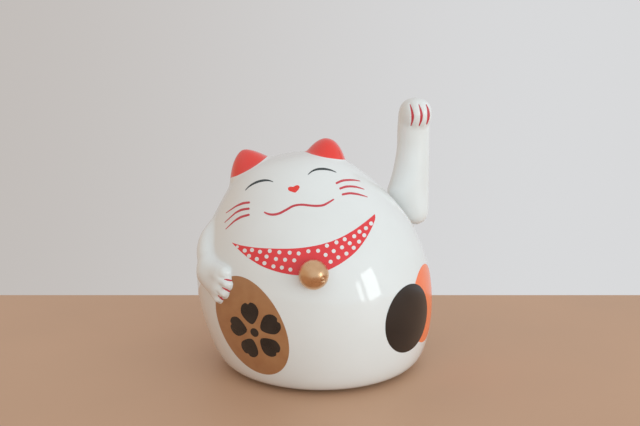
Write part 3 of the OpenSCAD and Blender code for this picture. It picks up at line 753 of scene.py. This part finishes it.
coin = from_patch(egg_bvh, (-34.2, -50.9, 33.4), (-0.519, -0.845, -0.127), math.radians(26.8))
t = 2 * np.pi * np.arange(96) / 96
film("coin", [np.stack([19.0 * np.cos(t), 24.9 * np.sin(t)], -1)], coin, M_COIN, FIG, step=1.6)
# a plain five-petal blossom in brushed ink
coin_mid = np.array(strike(egg_bvh, 254.5, 332.5)[0])
coin_up = from_patch(egg_bvh, coin_mid, (-0.50, -0.857, -0.127), math.radians(12))
petals = []
for k in range(5):
    a = math.radians(90 + 72 * k)
    c = np.array([math.cos(a), math.sin(a)])
    s = np.array([-c[1], c[0]])
    pts = [c * 3.6, c * 5.6 + s * 2.7, c * 8.6 + s * 4.3, c * 11.4 + s * 3.4, c * 12.5 + s * 1.3, c * 11.9, c * 12.5 - s * 1.3, c * 11.4 - s * 3.4, c * 8.6 - s * 4.3, c * 5.6 - s * 2.7]
    petals.append(catmull([q * 1.14 for q in pts], 4, closed=True))
petals.append(disc((0, 0), 2.2, 20))
film("coin_blossom", petals, coin_up, M_INK, FIG, lift=0.09, sink=0.0, step=1.3)

black = from_patch(egg_bvh, (42.7, -39.1, 34.2), (0.757, -0.654, 0.007), math.radians(-14.6))
film("spot_black", [np.stack([17.3 * np.cos(t), 16.6 * np.sin(t)], -1)], black, M_BLACK, FIG, lift=0.10, sink=0.02, step=1.6)
orange = from_patch(egg_bvh, (53.0, -22.1, 36.5), (0.928, -0.369, 0.048), math.radians(-14.6))
film("spot_orange", [np.stack([19.2 * np.cos(t), 19.4 * np.sin(t)], -1)], orange, M_ORANGE, FIG, lift=0.05, step=1.6)

TOE_PAINT = [[(224.2, 279.2), (228.0, 279.9), (231.6, 280.8)], [(222.4, 287.5), (226.2, 289.6), (229.8, 291.6)], [(218.2, 295.4), (220.6, 297.6), (222.8, 299.6)]]
film("toe_lines_resting", [stroke(L, [0.7, 1.9, 1.6]) for L in TOE_PAINT], on_body, M_PINK, FIG, lift=0.06, sink=0.25, step=1.2)
film("toe_lines_raised", [stroke(L, [0.6, 2.0, 2.8, 2.1, 0.8], k=5) for L in WAVE_LINES], on_wave, M_PINK, PEN, lift=0.06, sink=0.25, step=1.2)

# ------------------------------------------------------------------ bell: a turned ball with a small flat at the back
bc = np.array([-3.4, -60.2, 61.9])
prof = [(6.7 * math.cos(a), 6.7 * math.sin(a)) for a in np.radians(np.linspace(88.6, -48.3, 112))]
prof += [(3.0, -5.0), (1.0, -5.0)]
n_b = 160
rings = []
for r, h in prof:
    a = 2 * np.pi * np.arange(n_b) / n_b
    rings.append(np.stack([bc[0] + r * np.cos(a), np.full(n_b, bc[1] - h), bc[2] + r * np.sin(a)], -1))
rings = np.array(rings)
ray, to_bell = sight(323.5, 279.3), bc - CAM      # a small pressed ring, low on its right
hit = CAM + ray * (ray @ to_bell - math.sqrt(6.7**2 - (to_bell @ to_bell - (ray @ to_bell) ** 2)))
ring_d = np.linalg.norm(rings - hit, axis=-1)
rings = rings - (0.45 * np.exp(-((ring_d - 1.12) / 0.25) ** 2) - 0.14 * np.exp(-(ring_d / 0.6) ** 2))[..., None] * unit(rings - bc)
v, f = closed_tube(rings)
bell = new_mesh("bell_ball", v, f, None, [M_BELL], sharp=45)
outward(bell)
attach(bell, FIG)
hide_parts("bell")

# ------------------------------------------------------------------ finishes of the carried-over pieces
LOOK = {
    "foot_ring": material("foam_black", (0.02, 0.02, 0.02), (0.035, 0.035, 0.035), rough=(0.8, 0.95), scale=500, bump=0.5, bump_scale=2500, bump_dist=0.0001),
    "mounting_ring": material("ring_plastic", (0.55, 0.55, 0.53), (0.60, 0.60, 0.58), rough=(0.45, 0.55), scale=90, bump=0.15, bump_scale=1500),
    "base_plate": material("plate_plastic", (0.60, 0.60, 0.58), (0.65, 0.65, 0.63), rough=(0.40, 0.52), scale=70, bump=0.2, bump_scale=1800),
    "battery_door": material("door_plastic", (0.58, 0.58, 0.56), (0.63, 0.63, 0.61), rough=(0.42, 0.5), scale=70, bump=0.2, bump_scale=1800),
    "base_screws": material("zinc", (0.50, 0.51, 0.53), (0.62, 0.63, 0.65), rough=(0.22, 0.38), metal=1.0, scale=400, bump=0.1, bump_scale=3000),
    "battery_cell": material("cell_sleeve", (0.02, 0.10, 0.07), (0.03, 0.14, 0.09), rough=(0.2, 0.3), scale=100, coat=0.5),
    "battery_spring": material("spring_steel", (0.52, 0.53, 0.55), (0.66, 0.67, 0.69), rough=(0.2, 0.3), metal=1.0, scale=600),
    "battery_contact": material("contact_nickel", (0.58, 0.57, 0.54), (0.70, 0.69, 0.66), rough=(0.2, 0.32), metal=1.0, scale=500),
    "pivot_frame": material("frame_plastic", (0.70, 0.70, 0.68), (0.76, 0.76, 0.74), rough=(0.35, 0.5), scale=60, bump=0.15, bump_scale=1500),
    "frame_screws": material("zinc_small", (0.50, 0.51, 0.53), (0.62, 0.63, 0.65), rough=(0.22, 0.38), metal=1.0, scale=500),
    "circuit_board": material("board_green", (0.02, 0.12, 0.05), (0.03, 0.17, 0.07), rough=(0.3, 0.42), scale=300, bump=0.1, bump_scale=2500),
    "coil_bobbin": material("bobbin", (0.62, 0.58, 0.48), (0.68, 0.64, 0.54), rough=(0.4, 0.5), scale=150),
    "drive_coil": material("copper", (0.50, 0.19, 0.08), (0.66, 0.27, 0.12), rough=(0.25, 0.4), metal=1.0, scale=900, stretch=(1, 1, 8), bump=0.4, bump_scale=2500),
    "board_parts": material("parts_black", (0.015, 0.015, 0.018), (0.03, 0.03, 0.034), rough=(0.3, 0.45), scale=300),
    "lead_wires": material("wire_red", (0.42, 0.02, 0.015), (0.5, 0.03, 0.02), rough=(0.35, 0.45), scale=300),
    "bearing_bushes": material("bronze", (0.42, 0.26, 0.10), (0.55, 0.36, 0.15), rough=(0.3, 0.45), metal=1.0, scale=500),
    "axle": material("axle_steel", (0.52, 0.53, 0.54), (0.62, 0.63, 0.64), rough=(0.15, 0.25), metal=1.0, scale=500, aniso=0.4),
    "arm_hub": material("hub_plastic", (0.60, 0.60, 0.58), (0.66, 0.66, 0.64), rough=(0.4, 0.5), scale=120, bump=0.1, bump_scale=1500),
    "pendulum_lever": material("lever_plastic", (0.58, 0.58, 0.56), (0.64, 0.64, 0.62), rough=(0.4, 0.5), scale=100, bump=0.1, bump_scale=1500),
    "pendulum_magnet": material("magnet_nickel", (0.60, 0.59, 0.56), (0.68, 0.67, 0.64), rough=(0.12, 0.22), metal=1.0, scale=400),
    "balance_weight": material("weight_steel", (0.26, 0.27, 0.28), (0.38, 0.39, 0.40), rough=(0.3, 0.45), metal=1.0, scale=500, stretch=(6, 1, 1)),
    "retaining_clips": material("clip_steel", (0.25, 0.26, 0.28), (0.35, 0.36, 0.38), rough=(0.25, 0.35), metal=1.0, scale=500),
}
for name, mat in LOOK.items():
    ob = frame["nodes"][name]
    if not ob.material_slots:
        ob.data.materials.append(mat)
    for s in ob.material_slots:
        s.material = mat

# ------------------------------------------------------------------ stage, light
def stage_plane(name, pts, mat):
    me = bpy.data.meshes.new(name)
    me.from_pydata([Vector(p) for p in pts], [], [(0, 1, 2, 3)])
    me.materials.append(mat)
    ob = bpy.data.objects.new(name, me)
    bpy.context.scene.collection.objects.link(ob)
    return ob


M_FLOOR = material("floor_pale", (0.60, 0.372, 0.238), (0.64, 0.40, 0.26), rough=(0.5, 0.6), scale=8)
board = bpy.data.meshes.new("floor")
xs, ys, zs = (-0.95, 0.95), (-0.85, 0.109), (-0.025, 0.0)
board.from_pydata([Vector((x, y, z)) for z in zs for y in ys for x in xs], [],
                  [(0, 2, 3, 1), (4, 5, 7, 6), (0, 1, 5, 4), (2, 6, 7, 3), (0, 4, 6, 2), (1, 3, 7, 5)])
board.materials.append(M_FLOOR)
floor = bpy.data.objects.new("floor", board)
bpy.context.scene.collection.objects.link(floor)

scene = bpy.context.scene
w = bpy.data.worlds.new("studio")
scene.world = w
w.use_nodes = True
wt = w.node_tree
bg = wt.nodes["Background"]
tc = wt.nodes.new("ShaderNodeTexCoord")
sx = wt.nodes.new("ShaderNodeSeparateXYZ")
wt.links.new(tc.outputs["Generated"], sx.inputs["Vector"])


def sweep(axis, lo, hi):
    mr = wt.nodes.new("ShaderNodeMapRange")
    mr.interpolation_type = "SMOOTHSTEP"
    mr.inputs["From Min"].default_value, mr.inputs["From Max"].default_value = lo, hi
    wt.links.new(sx.outputs[axis], mr.inputs["Value"])
    return mr.outputs["Result"]


def two(fac, a, b):
    wr = wt.nodes.new("ShaderNodeValToRGB")
    wr.color_ramp.elements[0].color, wr.color_ramp.elements[1].color = (*a, 1), (*b, 1)
    wt.links.new(fac, wr.inputs["Fac"])
    return wr.outputs["Color"]


behind = two(sweep("X", -0.50, 0.32), (0.535, 0.50, 0.475), (0.695, 0.70, 0.71))
front = two(sweep("X", -0.75, 0.35), (0.61, 0.56, 0.51), (0.80, 0.86, 0.89))
wm = wt.nodes.new("ShaderNodeMix")
wm.data_type = "RGBA"
wt.links.new(sweep("Y", -0.35, 0.25), wm.inputs["Factor"])
wt.links.new(front, wm.inputs["A"])
wt.links.new(behind, wm.inputs["B"])
lw = wt.nodes.new("ShaderNodeMix")
lw.data_type = "RGBA"
wt.links.new(sweep("X", -0.85, -0.40), lw.inputs["Factor"])
lw.inputs["A"].default_value = (0.63, 0.52, 0.41, 1)
wt.links.new(wm.outputs["Result"], lw.inputs["B"])
cw = wt.nodes.new("ShaderNodeMix")
cw.data_type = "RGBA"
wt.links.new(sweep("Z", 0.25, 0.8), cw.inputs["Factor"])
wt.links.new(lw.outputs["Result"], cw.inputs["A"])
cw.inputs["B"].default_value = (0.72, 0.71, 0.70, 1)
wt.links.new(cw.outputs["Result"], bg.inputs["Color"])
bg.inputs["Strength"].default_value = 1.0


def area(name, at, to, sx, sy, radiance, colour=(1, 1, 1), roll=0.0):
    """A soft box: its brightness is given as radiance, so its size only changes how much light it sheds."""
    L = bpy.data.lights.new(name, "AREA")
    L.shape, L.size, L.size_y, L.color = "RECTANGLE", sx, sy, colour
    L.energy = radiance * math.pi * sx * sy
    ob = bpy.data.objects.new(name, L)
    scene.collection.objects.link(ob)
    ob.location = Vector(at)
    q = (Vector(to) - Vector(at)).to_track_quat("-Z", "Y") @ Matrix.Rotation(roll, 3, "Z").to_quaternion()
    ob.rotation_euler = q.to_euler()
    return ob


def mirror(px, py, dist):
    """The place whose reflection in the glaze shows at a point of the frame."""
    h = strike(egg_bvh, px, py)
    p, n, d = np.array(h[0]), unit(h[1]), sight(px, py)
    if n @ d > 0:
        n = -n
    return (p + dist * (d - 2 * (d @ n) * n)) * MM, p * MM


at, p = mirror(371.6, 284.6, 1500)
area("window_pane", at, p, 0.37, 0.55, 3.2, (0.93, 1.0, 1.0), roll=0.19)
at, p = mirror(360.2, 292.8, 1500)
area("window_side", at, p, 0.10, 0.42, 2.8, (0.93, 1.0, 1.0), roll=0.19)
key = area("soft_key", (1.7, -1.6, 0.5), (0, 0, 0.06), 2.2, 1.6, 1.02, (0.88, 0.97, 1.0))
key.visible_glossy = False
low = area("low_fill", (0.7, -1.8, 0.24), (0, 0, 0.03), 2.0, 0.44, 2.3, (0.52, 0.88, 1.0))
low.visible_glossy = False
scene.view_settings.view_transform = "Standard"
